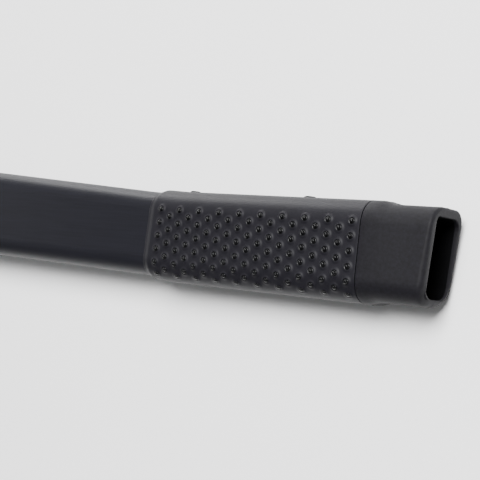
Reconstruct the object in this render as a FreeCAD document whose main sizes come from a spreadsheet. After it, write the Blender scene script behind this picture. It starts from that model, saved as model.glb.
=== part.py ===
import FreeCAD, Part
import math
import os
import Sketcher
from FreeCAD import Placement, Rotation, Vector

# An ice axe as a parametric document: shaft, grip, open ferrule and a bolted head.
#
# The axe lies on its side. The origin is the centre of its open lower end, +X runs up the grip towards
# the head, +Y is the way the pick points and +Z comes out of the axe's side. Sizes are in millimetres
# and angles in degrees. The pieces of the head are drawn in the head's own frame, which starts where the
# tube ends: x goes on up the shaft, y points along the pick and z is the same as the axe's.

DRIVING_SIZES = {
    # Shaft tube, a rounded rectangle that is deep in the plane of the swing
    "grip_depth": 32.75,
    "grip_width": 21.0,
    "corner_radius": 7.25,
    "tube_wall": 1.5,
    "upper_depth": 36.95,
    # Centreline of the shaft: grip, slight lean back, deepening stretch, main bend, upper stretch
    "lean_under_sleeve": 10.8,
    "lean_radius": 120.0,
    "lean_angle": 2.1,
    "neck_length": 16.6,
    "taper_length": 107.0,
    "bend_radius": 400.0,
    "bend_angle": 18.1,
    "upper_length": 82.0,
    # Grip sleeve
    "sleeve_wall": 1.2,
    "sleeve_length": 92.6,
    "sleeve_ramp": 4.5,
    "sleeve_edge": 0.25,
    # End ferrule: its open end is cut at a slant, and its mouth sits a little off centre
    "ferrule_end": 17.0,
    "ferrule_ramp": 6.0,
    "ferrule_ring": 2.2,
    "ferrule_wall": 2.9,
    "end_slant": 3.4,
    "mouth_depth": 20.0,
    "mouth_offset_deep": 0.3,
    "mouth_offset_side": -0.5,
    "mouth_corner": 3.6,
    "plug_depth": 38.0,
    "plug_wall": 2.6,
    "lip_radius": 2.0,
    "mouth_radius": 0.3,
    "fit_gap": 0.1,
    # Rivets of the ferrule, and the foam stopper
    "ferrule_rivet_size": 4.0,
    "ferrule_rivet_place": 50.0,
    "stopper_gap": 3.0,
    "stopper_length": 15.0,
    # Head body
    "shank_length": 50.0,
    "shank_wall": 4.2,
    "head_height": 40.0,
    "head_front": 31.0,
    "head_rear": 26.0,
    "slot_floor": 9.0,
    "slot_width": 6.2,
    "head_throat": 24.0,
    "head_crown": 110.0,
    "front_foot": 6.0,
    "rear_foot": 4.0,
    "front_slope_rise": 6.0,
    "front_slope_run": 8.0,
    "rear_slope_rise": 7.0,
    "rear_slope_run": 9.0,
    "head_corner": 4.0,
    "head_edge": 2.4,
    "head_rivet_size": 6.0,
    "head_rivet_cap": 10.0,
    "head_rivet_rise": 1.1,
    "head_rivet_brim": 0.3,
    "lower_rivet_place": 40.0,
    "upper_rivet_place": 24.0,
    "collar_length": 12.0,
    "collar_wall": 1.3,
    # Bolts
    "bolt_size": 8.0,
    "bolt_head": 13.0,
    "bolt_head_height": 4.0,
    "bolt_socket": 5.0,
    "washer_size": 14.0,
    "washer_thickness": 1.0,
    "nut_size": 12.0,
    "nut_height": 3.6,
    "bolt_tail_set": 0.4,
    "bolt_gap": 0.25,
    "recess_gap": 0.2,
    "bolt_height": 24.0,
    "pick_bolt_place": 13.0,
    "adze_bolt_place": 15.0,
    # Pick
    "pick_thickness": 4.0,
    "pick_heel": 4.0,
    "pick_top": 37.0,
    "pick_shoulder": 26.0,
    "pick_back_radius": 260.0,
    "pick_reach": 170.0,
    "pick_belly": 5.0,
    "pick_belly_start": 45.0,
    "pick_throat_set": 1.0,
    "pick_belly_radius": 420.0,
    "pick_tip_length": 13.0,
    "pick_tip_drop": 3.0,
    "tooth_pitch": 7.2,
    "tooth_depth": 2.6,
    "tooth_count": 13,
    "tooth_land": 0.144,
    "tooth_spare": 1.0,
    "first_tooth_angle": 12.0,
    "eye_size": 15.0,
    "eye_place": 51.0,
    "eye_height": 20.5,
    "spacer_size": 20.0,
    "spacer_corner": 4.0,
    # Adze
    "adze_reach": 82.0,
    "adze_width": 42.0,
    "adze_neck_width": 17.0,
    "adze_neck_height": 17.0,
    "adze_droop": 20.0,
    "adze_thickness": 3.2,
    "adze_flare": 8.0,
    "adze_lift": 2.0,
    "adze_tang_tail": 3.0,
    "adze_neck_gap": 0.4,
    "adze_neck_length": 14.0,
    "adze_neck_flare": 7.0,
}

# Half the drawn length of a bend's axis, and how near two lengths count as the same

AXIS_REACH = 20.0
CLOSE = 1e-4

doc = FreeCAD.newDocument("ice_axe")
sheet = doc.addObject("Spreadsheet::Sheet", "Sizes")
for row, (alias, value) in enumerate(DRIVING_SIZES.items(), start=1):
    sheet.set(f"A{row}", alias)
    sheet.set(f"B{row}", str(value))
    sheet.setAlias(f"B{row}", alias)
doc.recompute()


def size(formula):
    """Writes a formula of size names as an expression on the sheet."""
    words = []
    word = ""
    for letter in formula + " ":
        if letter.isalnum() or letter == "_":
            word += letter
            continue
        words.append(f"Sizes.{word}" if word in DRIVING_SIZES else word)
        words.append(letter)
        word = ""
    return "".join(words).strip()


def number(formula):
    """The value of such a formula, for the first drawing of a sketch."""
    return float(sheet.evalExpression(size(formula)))


# Places along the centreline: (x, y, heading). The heading is the angle from +X towards +Y.

SLEEVE_START = "(ferrule_end + ferrule_ramp + ferrule_ring)"
LEAN_START_X = f"({SLEEVE_START} + sleeve_length - lean_under_sleeve)"
LEAN = "(lean_angle * 1deg)"
RISE = "(bend_angle - lean_angle)"
LEAN_END_X = f"({LEAN_START_X} + lean_radius * sin{LEAN})"
LEAN_END_Y = f"(lean_radius * (cos{LEAN} - 1))"


def along_neck(distance):
    """A place on the leaning stretch, at a distance past the end of the lean's arc."""
    x = f"({LEAN_END_X} + ({distance}) * cos{LEAN})"
    y = f"({LEAN_END_Y} - ({distance}) * sin{LEAN})"
    return x, y, "-lean_angle"


GRIP_START = (SLEEVE_START, "0", "0")
LEAN_START = (LEAN_START_X, "0", "0")
LEAN_END = along_neck("0")
TAPER_START = along_neck("neck_length")
TAPER_END = along_neck("neck_length + taper_length")
BEND_END_X = f"({TAPER_END[0]} + bend_radius * (sin({RISE} * 1deg) + sin{LEAN}))"
BEND_END_Y = f"({TAPER_END[1]} + bend_radius * (cos{LEAN} - cos({RISE} * 1deg)))"
BEND_END = (BEND_END_X, BEND_END_Y, RISE)
TUBE_TOP_X = f"({BEND_END_X} + upper_length * cos({RISE} * 1deg))"
TUBE_TOP_Y = f"({BEND_END_Y} + upper_length * sin({RISE} * 1deg))"

# Sections: (depth, width, corner radius)


def grown(depth, amount):
    """The tube's outer section at a depth, made larger all round by an amount."""
    return f"{depth} + 2 * ({amount})", f"grip_width + 2 * ({amount})", f"corner_radius + ({amount})"


# How deep the bolts' recesses are, and how far their floors lie from the swing plane

RECESS_DEPTH = "(washer_thickness + bolt_head_height + recess_gap)"
BOLT_SEAT = f"(grip_width / 2 + collar_wall - {RECESS_DEPTH})"

# Small builders shared by the pieces


def new_body(label):
    body = doc.addObject("PartDesign::Body", label)
    body.Label = label
    return body


def plane_of(body, role):
    return next(plane for plane in body.Origin.OriginFeatures if plane.Role == role)


def new_sketch(body, name, role, offset=("0", "0", "0"), axis=Vector(0, 0, 1), angle="0"):
    """A sketch on one of the body's own planes, moved and turned in that plane's own axes."""
    sketch = body.newObject("Sketcher::SketchObject", name)
    sketch.AttachmentSupport = [(plane_of(body, role), "")]
    sketch.MapMode = "FlatFace"
    place = Vector(*[number(part) for part in offset])
    sketch.AttachmentOffset = Placement(place, Rotation(axis, number(angle)))
    for letter, part in zip("xyz", offset):
        sketch.setExpression(f".AttachmentOffset.Base.{letter}", size(part))
    sketch.setExpression(".AttachmentOffset.Rotation.Angle", size(angle))
    return sketch


def station_sketch(body, name, station):
    """A sketch square to the centreline at a station, its x along the section's depth."""
    x, y, heading = station
    return new_sketch(body, name, "YZ_Plane", (y, "0", x), Vector(0, 1, 0), heading)


def bind(sketch, constraint, formula):
    index = sketch.addConstraint(constraint)
    sketch.setExpression(f"Constraints[{index}]", size(formula))


def draw_rounded(sketch, section, middle=("0", "0")):
    """Draws a rounded rectangle about a middle point, every size bound to the sheet."""
    depth, width, radius = section
    half_x = number(depth) / 2
    half_y = number(width) / 2
    round_size = number(radius)
    mid_x = number(middle[0])
    mid_y = number(middle[1])
    corners = [(1, 1), (-1, 1), (-1, -1), (1, -1)]
    arcs = []
    for turn, (side_x, side_y) in enumerate(corners):
        centre = Vector(mid_x + side_x * (half_x - round_size), mid_y + side_y * (half_y - round_size), 0)
        circle = Part.Circle(centre, Vector(0, 0, 1), round_size)
        start = turn * math.pi / 2
        arcs.append(sketch.addGeometry(Part.ArcOfCircle(circle, start, start + math.pi / 2), False))
    lines = []
    for turn in range(4):
        first = sketch.Geometry[arcs[turn]].EndPoint
        second = sketch.Geometry[arcs[(turn + 1) % 4]].StartPoint
        lines.append(sketch.addGeometry(Part.LineSegment(first, second), False))
    for turn in range(4):
        sketch.addConstraint(Sketcher.Constraint("Tangent", arcs[turn], 2, lines[turn], 1))
        sketch.addConstraint(Sketcher.Constraint("Tangent", lines[turn], 2, arcs[(turn + 1) % 4], 1))
    sketch.addConstraint(Sketcher.Constraint("Horizontal", lines[0]))
    sketch.addConstraint(Sketcher.Constraint("Horizontal", lines[2]))
    sketch.addConstraint(Sketcher.Constraint("Vertical", lines[1]))
    sketch.addConstraint(Sketcher.Constraint("Vertical", lines[3]))
    for arc in arcs[1:]:
        sketch.addConstraint(Sketcher.Constraint("Equal", arcs[0], arc))
    bind(sketch, Sketcher.Constraint("Radius", arcs[0], round_size), radius)
    ends = [(lines[3], "DistanceX", mid_x + half_x, f"({middle[0]}) + ({depth}) / 2"),
            (lines[1], "DistanceX", mid_x - half_x, f"({middle[0]}) - ({depth}) / 2"),
            (lines[0], "DistanceY", mid_y + half_y, f"({middle[1]}) + ({width}) / 2"),
            (lines[2], "DistanceY", mid_y - half_y, f"({middle[1]}) - ({width}) / 2")]
    for line, kind, value, formula in ends:
        bind(sketch, Sketcher.Constraint(kind, -1, 1, line, 1, value), formula)


def draw_circle(sketch, x, y, diameter):
    circle = Part.Circle(Vector(number(x), number(y), 0), Vector(0, 0, 1), number(diameter) / 2)
    index = sketch.addGeometry(circle, False)
    bind(sketch, Sketcher.Constraint("Diameter", index, number(diameter)), diameter)
    for kind, place in (("DistanceX", x), ("DistanceY", y)):
        bind(sketch, Sketcher.Constraint(kind, -1, 1, index, 3, number(place)), place)


def draw_outline(sketch, points, arcs=None):
    """Draws a closed outline through points given as pairs of formulas.

    A number in arcs says that the side which leaves that point is an arc of that radius, and a minus
    sign turns the arc's centre to the right of the way round.
    """
    arcs = arcs or {}
    places = [Vector(number(x), number(y), 0) for x, y in points]
    sides = []
    start_ends = []
    for turn, start in enumerate(places):
        end = places[(turn + 1) % len(places)]
        if turn not in arcs:
            sides.append(sketch.addGeometry(Part.LineSegment(start, end), False))
            start_ends.append(1)
            continue
        radius = number(arcs[turn])
        chord = end - start
        left = Vector(-chord.y, chord.x, 0).normalize()
        centre_drop = (radius ** 2 - (chord.Length / 2) ** 2) ** 0.5
        centre = (start + end) * 0.5 + left * (centre_drop if radius > 0 else -centre_drop)
        angles = [math.atan2(place.y - centre.y, place.x - centre.x) for place in (start, end)]
        if radius < 0:
            angles.reverse()
        circle = Part.Circle(centre, Vector(0, 0, 1), abs(radius))
        sides.append(sketch.addGeometry(Part.ArcOfCircle(circle, *angles), False))
        start_ends.append(1 if radius > 0 else 2)
    for turn, side in enumerate(sides):
        following = (turn + 1) % len(sides)
        ends = (side, 3 - start_ends[turn], sides[following], start_ends[following])
        sketch.addConstraint(Sketcher.Constraint("Coincident", *ends))
        for kind, formula in (("DistanceX", points[turn][0]), ("DistanceY", points[turn][1])):
            bind(sketch, Sketcher.Constraint(kind, -1, 1, side, start_ends[turn], number(formula)), formula)
        if turn in arcs:
            radius_formula = arcs[turn].lstrip("-")
            bind(sketch, Sketcher.Constraint("Radius", side, number(radius_formula)), radius_formula)


def pad(body, name, sketch, length, middle=False, back=False):
    feature = body.newObject("PartDesign::Pad", name)
    feature.Profile = sketch
    feature.setExpression("Length", size(length))
    if middle:
        feature.Midplane = True
    feature.Reversed = back
    return feature


def pocket(body, name, sketch, length, middle=False, back=False):
    feature = body.newObject("PartDesign::Pocket", name)
    feature.Profile = sketch
    feature.setExpression("Length", size(length))
    if middle:
        feature.Midplane = True
    feature.Reversed = back
    return feature


def bend(body, name, station, sections, radius, angle, towards_pick):
    """Turns the section at a station about an axis beside it, so that the stretch is a true arc."""
    sketch = station_sketch(body, f"{name}_section", station)
    for section in sections:
        draw_rounded(sketch, section)
    side = "" if towards_pick else "-"
    where = f"{side}({radius})"
    start = Vector(number(where), -AXIS_REACH, 0)
    end = Vector(number(where), AXIS_REACH, 0)
    line = sketch.addGeometry(Part.LineSegment(start, end), True)
    sketch.addConstraint(Sketcher.Constraint("Vertical", line))
    bind(sketch, Sketcher.Constraint("DistanceX", -1, 1, line, 1, number(where)), where)
    sketch.addConstraint(Sketcher.Constraint("DistanceY", -1, 1, line, 1, -AXIS_REACH))
    sketch.addConstraint(Sketcher.Constraint("DistanceY", -1, 1, line, 2, AXIS_REACH))
    feature = body.newObject("PartDesign::Revolution", name)
    feature.Profile = sketch
    feature.ReferenceAxis = (sketch, ["Axis0"])
    feature.setExpression("Angle", size(angle))
    feature.Reversed = not towards_pick
    return feature


def stretch(body, name, station, sections, length):
    sketch = station_sketch(body, f"{name}_section", station)
    for section in sections:
        draw_rounded(sketch, section)
    return pad(body, name, sketch, length)


def taper(body, name, stations, section_lists):
    """A stretch that grows from the sections at its first station to those at its last."""
    sketches = []
    for turn, (station, sections) in enumerate(zip(stations, section_lists)):
        sketch = station_sketch(body, f"{name}_section_{turn + 1}", station)
        for section in sections:
            draw_rounded(sketch, section)
        sketches.append(sketch)
    feature = body.newObject("PartDesign::AdditiveLoft", name)
    feature.Profile = sketches[0]
    feature.Sections = sketches[1:]
    return feature


def place_in_head(body):
    """Puts a body that is drawn in the head's frame at the top of the tube."""
    body.Placement = Placement(Vector(0, 0, 0), Rotation(Vector(0, 0, 1), number(RISE)))
    body.setExpression(".Placement.Base.x", size(TUBE_TOP_X))
    body.setExpression(".Placement.Base.y", size(TUBE_TOP_Y))
    body.setExpression(".Placement.Rotation.Angle", size(RISE))


# Shaft


def make_shaft_tube():
    """The tube: straight in the grip, leaning back, deepening, bent forward, straight to the head."""
    body = new_body("shaft_tube")
    grip = [grown("grip_depth", "0"), grown("grip_depth", "-tube_wall")]
    upper = [grown("upper_depth", "0"), grown("upper_depth", "-tube_wall")]
    stretch(body, "tube_grip", GRIP_START, grip, f"{LEAN_START_X} - {SLEEVE_START}")
    bend(body, "tube_lean", LEAN_START, grip, "lean_radius", "lean_angle", False)
    stretch(body, "tube_neck", LEAN_END, grip, "neck_length")
    taper(body, "tube_taper", [TAPER_START, TAPER_END], [grip, upper])
    bend(body, "tube_bend", TAPER_END, upper, "bend_radius", "bend_angle", True)
    stretch(body, "tube_upper", BEND_END, upper, "upper_length")
    low_holes = new_sketch(body, "ferrule_rivet_holes", "XY_Plane")
    draw_circle(low_holes, "ferrule_rivet_place", "0", "ferrule_rivet_size")
    pocket(body, "ferrule_rivet_drilling", low_holes, "2 * grip_width", middle=True)
    offset = (TUBE_TOP_X, TUBE_TOP_Y, "0")
    high_holes = new_sketch(body, "head_rivet_holes", "XY_Plane", offset, angle=RISE)
    for place in ("-lower_rivet_place", "-upper_rivet_place"):
        draw_circle(high_holes, place, "0", "head_rivet_size")
    pocket(body, "head_rivet_drilling", high_holes, "2 * grip_width", middle=True)


def make_grip_sleeve():
    """The rubber sleeve, moulded round the tube's grip and thinning out at its upper end."""
    body = new_body("grip_sleeve")
    tube = grown("grip_depth", "0")
    full = [grown("grip_depth", "sleeve_wall"), tube]
    thin = [grown("grip_depth", "sleeve_edge"), tube]
    stretch(body, "sleeve_grip", GRIP_START, full, f"{LEAN_START_X} - {SLEEVE_START}")
    bend(body, "sleeve_lean", LEAN_START, full, "lean_radius", "lean_angle", False)
    past_lean = f"({SLEEVE_START} + sleeve_length - {LEAN_END_X})"
    stretch(body, "sleeve_neck", LEAN_END, full, past_lean)
    ends = [along_neck(past_lean), along_neck(f"{past_lean} + sleeve_ramp")]
    taper(body, "sleeve_ramp_down", ends, [full, thin])


# Lower end


def make_end_ferrule():
    """The moulded open end: outer section, ramp and ring outside the tube, and a plug inside it."""
    body = new_body("end_ferrule")
    outer = grown("grip_depth", "0")
    ring = grown("grip_depth", "sleeve_wall")
    plug = grown("grip_depth", "-tube_wall - fit_gap")
    core = grown("grip_depth", "-tube_wall - fit_gap - plug_wall")
    mouth = ("grip_depth - 2 * ferrule_wall", "grip_width - 2 * ferrule_wall", "mouth_corner")
    lean = "grip_depth * tan(end_slant * 1deg)"
    stretch(body, "ferrule_tail", (f"-({lean})", "0", "0"), [outer], f"ferrule_end + {lean}")
    waste = new_sketch(body, "slant_outline", "XY_Plane")
    draw_outline(waste, [(f"-2 * {lean}", "-grip_depth"), (f"-({lean})", "-grip_depth"),
                         (lean, "grip_depth"), (f"-2 * {lean}", "grip_depth")])
    slanted = pocket(body, "slanted_end", waste, "2 * grip_width", middle=True)
    doc.recompute()
    lip = body.newObject("PartDesign::Fillet", "ferrule_lip")
    lip.Base = (slanted, edges_on_slant(slanted.Shape))
    lip.setExpression("Radius", size("lip_radius"))
    ramp_ends = [("ferrule_end", "0", "0"), ("ferrule_end + ferrule_ramp", "0", "0")]
    taper(body, "ferrule_ramp_up", ramp_ends, [[outer], [ring]])
    stretch(body, "ferrule_shoulder", ramp_ends[1], [ring], "ferrule_ring")
    stretch(body, "ferrule_plug", GRIP_START, [plug], "plug_depth")
    wide = station_sketch(body, "mouth_section", (f"-({lean})", "0", "0"))
    draw_rounded(wide, mouth, ("mouth_offset_deep", "mouth_offset_side"))
    pocket(body, "ferrule_mouth", wide, f"mouth_depth + {lean}", back=True)
    narrow = station_sketch(body, "core_section", ("0", "0", "0"))
    draw_rounded(narrow, core)
    pocket(body, "ferrule_core", narrow, f"{SLEEVE_START} + plug_depth", back=True)
    drill = new_sketch(body, "ferrule_plug_holes", "XY_Plane")
    draw_circle(drill, "ferrule_rivet_place", "0", "ferrule_rivet_size")
    drilled = pocket(body, "ferrule_plug_drilling", drill, "2 * grip_width", middle=True)
    doc.recompute()
    inner = body.newObject("PartDesign::Fillet", "mouth_round")
    inner.Base = (drilled, edges_on_slant(drilled.Shape, inside=mouth))
    inner.setExpression("Radius", size("mouth_radius"))


def edges_on_slant(shape, inside=None):
    """Names of the edges that lie on the slanted end, only those inside a section if one is given."""
    slope = number("tan(end_slant * 1deg)")
    deep, side = number("mouth_offset_deep"), number("mouth_offset_side")
    names = []
    for index, edge in enumerate(shape.Edges, start=1):
        points = edge.discretize(5)
        wanted = all(abs(point.x - slope * point.y) < CLOSE for point in points)
        if inside:
            half_depth, half_width = number(inside[0]) / 2 + CLOSE, number(inside[1]) / 2 + CLOSE
            wanted = wanted and all(abs(point.y - deep) < half_depth for point in points)
            wanted = wanted and all(abs(point.z - side) < half_width for point in points)
        if wanted:
            names.append(f"Edge{index}")
    return names


def make_ferrule_rivets():
    """Two blind rivets, flush with the tube's sides, that pin the ferrule's plug."""
    outside = "grip_width / 2"
    length = "tube_wall + fit_gap + plug_wall"
    for label, side in (("ferrule_rivet_left", -1), ("ferrule_rivet_right", 1)):
        rivet = doc.addObject("Part::Cylinder", label)
        rivet.Label = label
        rivet.setExpression("Radius", size("ferrule_rivet_size / 2"))
        rivet.setExpression("Height", size(length))
        rivet.setExpression(".Placement.Base.x", size("ferrule_rivet_place"))
        low = f"{outside} - ({length})" if side > 0 else f"-({outside})"
        rivet.setExpression(".Placement.Base.z", size(low))


def make_snow_plug():
    """The foam stopper that fills the tube a little above the ferrule."""
    body = new_body("snow_plug")
    place = (f"{SLEEVE_START} + plug_depth + stopper_gap", "0", "0")
    stretch(body, "stopper", place, [grown("grip_depth", "-tube_wall")], "stopper_length")


# Head


def make_head_body():
    """The forged head: a hollow shank in the tube, and a slotted block above it."""
    body = new_body("head_body")
    base = grown("upper_depth", "collar_wall")[0]
    outline = new_sketch(body, "block_outline", "XY_Plane")
    points = [("0", f"-({base}) / 2"), ("0", f"({base}) / 2"), ("slot_floor + front_foot", "head_front"),
              ("head_height - front_slope_rise", "head_front"),
              ("head_height", "head_front - front_slope_run"),
              ("head_height", "-head_rear + rear_slope_run"),
              ("head_height - rear_slope_rise", "-head_rear"), ("slot_floor + rear_foot", "-head_rear")]
    arcs = {1: "-head_throat", 4: "-head_crown", 7: "-head_throat"}
    draw_outline(outline, points, arcs)
    block = pad(body, "block", outline, "grip_width + 2 * collar_wall", middle=True)
    doc.recompute()
    corners = body.newObject("PartDesign::Fillet", "block_corners")
    corners.Base = (block, upright_edges(block.Shape))
    corners.setExpression("Radius", size("head_corner"))
    doc.recompute()
    softened = body.newObject("PartDesign::Fillet", "block_edges")
    softened.Base = (corners, side_edges(corners.Shape))
    softened.setExpression("Radius", size("head_edge"))
    shank_section = grown("upper_depth", "-tube_wall - fit_gap")
    stretch(body, "shank", ("-shank_length", "0", "0"), [shank_section], "shank_length")
    hollow = station_sketch(body, "shank_hollow_section", ("-shank_length", "0", "0"))
    draw_rounded(hollow, grown("upper_depth", "-tube_wall - fit_gap - shank_wall"))
    pocket(body, "shank_hollow", hollow, "shank_length", back=True)
    slot = new_sketch(body, "slot_outline", "XY_Plane")
    reach = "head_front + head_rear"
    draw_outline(slot, [("slot_floor", f"-({reach})"), ("2 * head_height", f"-({reach})"),
                        ("2 * head_height", reach), ("slot_floor", reach)])
    pocket(body, "pick_slot", slot, "slot_width", middle=True)
    rivets = new_sketch(body, "shank_rivet_holes", "XY_Plane")
    for place in ("-lower_rivet_place", "-upper_rivet_place"):
        draw_circle(rivets, place, "0", "head_rivet_size")
    pocket(body, "shank_rivet_drilling", rivets, "2 * grip_width", middle=True)
    bolts = new_sketch(body, "bolt_holes", "XY_Plane")
    for place in ("pick_bolt_place", "-adze_bolt_place"):
        draw_circle(bolts, "bolt_height", place, "bolt_size + 2 * bolt_gap")
    pocket(body, "bolt_drilling", bolts, "2 * grip_width", middle=True)
    for name, side in (("left", -1), ("right", 1)):
        floor = f"{side} * {BOLT_SEAT}"
        seats = new_sketch(body, f"bolt_seats_{name}", "XY_Plane", ("0", "0", floor))
        for place in ("pick_bolt_place", "-adze_bolt_place"):
            draw_circle(seats, "bolt_height", place, "washer_size + 2 * bolt_gap")
        pocket(body, f"bolt_recess_{name}", seats, f"2 * {RECESS_DEPTH}", back=side > 0)
    place_in_head(body)


def upright_edges(shape):
    """Names of the block's edges that run through its thickness, away from the tube."""
    names = []
    for index, edge in enumerate(shape.Edges, start=1):
        box = edge.BoundBox
        if box.ZLength > 1 and box.XLength < CLOSE and box.YLength < CLOSE and box.XMin > 1:
            names.append(f"Edge{index}")
    return names


def side_edges(shape):
    """Names of the edges round the block's two flat sides, away from the tube."""
    names = []
    for index, edge in enumerate(shape.Edges, start=1):
        box = edge.BoundBox
        if box.ZLength < CLOSE and abs(box.ZMin) > 1 and box.XMax > 1:
            names.append(f"Edge{index}")
    return names


def make_head_rivets():
    """Two steel rivets through the tube and the shank, with low domed ends."""
    for name in ("lower", "upper"):
        label = f"head_rivet_{name}"
        place = f"-{name}_rivet_place"
        body = new_body(label)
        outline = new_sketch(body, f"{label}_outline", "XZ_Plane")
        half = "grip_width / 2"
        stem = "head_rivet_size / 2"
        cap = "head_rivet_cap / 2"
        flat = "head_rivet_size / 3"
        crown = f"{half} + head_rivet_rise"
        edge = f"{half} + head_rivet_brim"
        points = [("0", f"-({crown})"), (flat, f"-({crown})"), (cap, f"-({edge})"),
                  (cap, f"-({half})"), (stem, f"-({half})"), (stem, half), (cap, half), (cap, edge),
                  (flat, crown), ("0", crown)]
        draw_outline(outline, points)
        turned = body.newObject("PartDesign::Revolution", f"{label}_turned")
        turned.Profile = outline
        turned.ReferenceAxis = (outline, ["V_Axis"])
        turned.Angle = 360
        body.Placement = Placement(Vector(0, 0, 0), Rotation(Vector(0, 0, 1), number(RISE)))
        body.setExpression(".Placement.Base.x", size(f"{TUBE_TOP_X} + ({place}) * cos({RISE} * 1deg)"))
        body.setExpression(".Placement.Base.y", size(f"{TUBE_TOP_Y} + ({place}) * sin({RISE} * 1deg)"))
        body.setExpression(".Placement.Rotation.Angle", size(RISE))


def make_head_collar():
    """The moulded ring that covers the joint between tube and head."""
    body = new_body("head_collar")
    tube = grown("upper_depth", "0")
    full = grown("upper_depth", "collar_wall")
    thin = grown("upper_depth", "collar_wall / 3")
    ramp = "collar_length / 4"
    ends = [("-collar_length", "0", "0"), (f"-collar_length + {ramp}", "0", "0")]
    taper(body, "collar_ramp", ends, [[thin, tube], [full, tube]])
    stretch(body, "collar_band", ends[1], [full, tube], f"collar_length - {ramp}")
    place_in_head(body)


def make_pick():
    """The drooped steel pick, with its tang in the slot, its teeth and its eye."""
    body = new_body("pick")
    tip_start = "pick_reach - pick_tip_length"
    back_drop = f"pick_back_radius - sqrt(pick_back_radius ^ 2 - ({tip_start} - pick_shoulder) ^ 2)"
    belly_drop = f"pick_belly_radius - sqrt(pick_belly_radius ^ 2 - ({tip_start} - pick_belly_start) ^ 2)"
    tip = (f"pick_belly - ({belly_drop}) - pick_tip_drop", "pick_reach")
    outline = new_sketch(body, "pick_outline", "XY_Plane")
    points = [("slot_floor + fit_gap", "-pick_heel"),
              ("slot_floor + fit_gap", "head_front - pick_throat_set"),
              ("pick_belly", "pick_belly_start"), (f"pick_belly - ({belly_drop})", tip_start),
              tip, (f"pick_top - ({back_drop})", tip_start), ("pick_top", "pick_shoulder"),
              ("pick_top", "-pick_heel")]
    draw_outline(outline, points, {2: "pick_belly_radius", 5: "-pick_back_radius"})
    pad(body, "pick_plate", outline, "pick_thickness", middle=True)
    holes = new_sketch(body, "pick_holes", "XY_Plane")
    draw_circle(holes, "bolt_height", "pick_bolt_place", "bolt_size + 2 * bolt_gap")
    draw_circle(holes, "eye_height", "eye_place", "eye_size")
    pocket(body, "pick_drilling", holes, "2 * grip_width", middle=True)
    centre = ("pick_belly - pick_belly_radius", "pick_belly_start", "0")
    notch = new_sketch(body, "tooth_notch", "XY_Plane", centre, angle="first_tooth_angle")
    rim = "pick_belly_radius"
    draw_outline(notch, [(f"{rim} + tooth_depth", "0"), (f"{rim} - tooth_spare", "tooth_land"),
                         (f"{rim} - tooth_spare", "tooth_pitch - tooth_land")])
    cut = pocket(body, "tooth_cut", notch, "2 * grip_width", middle=True)
    doc.recompute()
    teeth = body.newObject("PartDesign::PolarPattern", "teeth")
    teeth.Originals = [cut]
    teeth.Axis = (notch, ["N_Axis"])
    teeth.setExpression("Angle", size("(tooth_count - 1) * tooth_pitch / pick_belly_radius * 180 / pi"))
    teeth.setExpression("Occurrences", size("tooth_count"))
    teeth.Reversed = True
    body.Tip = teeth
    place_in_head(body)


def make_adze():
    """The forged adze: a tang in the rear of the slot, a neck behind the head and a spreading blade."""
    body = new_body("adze")
    outline = new_sketch(body, "tang_outline", "XY_Plane")
    low, tail, heel = "slot_floor + fit_gap", "-head_rear - adze_tang_tail", "-pick_heel - fit_gap"
    draw_outline(outline, [(low, tail), ("pick_top", tail), ("pick_top", heel), (low, heel)])
    pad(body, "tang", outline, "slot_width - 2 * fit_gap", middle=True)
    middle_height = "(pick_top + slot_floor) / 2 + adze_lift"
    flared_neck = "adze_neck_width + adze_neck_flare"
    half_blade = "adze_width - adze_flare"
    stages = [("head_rear + adze_neck_gap", "adze_neck_height", "adze_neck_width", "0"),
              ("head_rear + adze_neck_length", "adze_neck_height / 2", flared_neck, "adze_droop / 12"),
              ("(head_rear + adze_reach) / 2", "adze_thickness * 1.6", half_blade, "adze_droop / 2.6"),
              ("adze_reach", "adze_thickness", "adze_width", "adze_droop")]
    sketches = []
    for turn, (back, height, width, drop) in enumerate(stages):
        sketch = new_sketch(body, f"adze_section_{turn + 1}", "XZ_Plane", ("0", "0", back))
        middle = (f"{middle_height} - ({drop})", "0")
        draw_rounded(sketch, (height, width, "adze_thickness * 0.4"), middle)
        sketches.append(sketch)
    blade = body.newObject("PartDesign::AdditiveLoft", "blade")
    blade.Profile = sketches[0]
    blade.Sections = sketches[1:]
    hole = new_sketch(body, "adze_hole", "XY_Plane")
    draw_circle(hole, "bolt_height", "-adze_bolt_place", "bolt_size + 2 * bolt_gap")
    pocket(body, "adze_drilling", hole, "2 * grip_width", middle=True)
    place_in_head(body)


def make_pick_spacers():
    """Two plates that fill the slot beside the pick's tang."""
    gap = "(slot_width - pick_thickness) / 2 - fit_gap / 2"
    for label, side in (("pick_spacer_left", -1), ("pick_spacer_right", 1)):
        body = new_body(label)
        inside = f"{side} * pick_thickness / 2"
        outline = new_sketch(body, f"{label}_outline", "XY_Plane", ("0", "0", inside))
        square = ("spacer_size", "spacer_size", "spacer_corner")
        draw_rounded(outline, square, ("bolt_height", "pick_bolt_place"))
        draw_circle(outline, "bolt_height", "pick_bolt_place", "bolt_size + 2 * bolt_gap")
        pad(body, f"{label}_plate", outline, gap, back=side < 0)
        place_in_head(body)


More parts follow.
